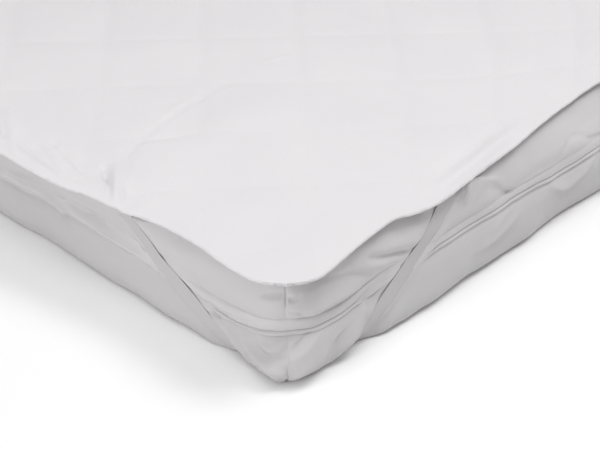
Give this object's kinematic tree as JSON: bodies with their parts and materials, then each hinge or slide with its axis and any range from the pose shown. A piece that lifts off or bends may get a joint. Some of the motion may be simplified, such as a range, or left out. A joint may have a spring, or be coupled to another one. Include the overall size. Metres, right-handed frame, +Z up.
{
  "type": "quilted mattress protector on a mattress",
  "caption": "Quilted mattress protector lying on a single mattress, held by an elastic strap under each corner.",
  "frame": {"origin": "on the floor under the middle of the mattress", "axes": "+X towards the right long side, +Y towards the head end, +Z up; the corner with the nearest strap in the picture is at +X and -Y"},
  "size_m": [0.9432, 2.0818, 0.1496],
  "materials": {
    "quilted_cloth": "matte",
    "mattress_cover": "matte",
    "seam_band": "matte",
    "elastic": "matte"
  },
  "bodies": {
    "root": {"mattress": "mattress_cover", "cover_band": "seam_band", "protector": "quilted_cloth", "strap_1": "elastic", "strap_2": "elastic", "strap_3": "elastic", "strap_4": "elastic"}
  },
  "joints": []
}
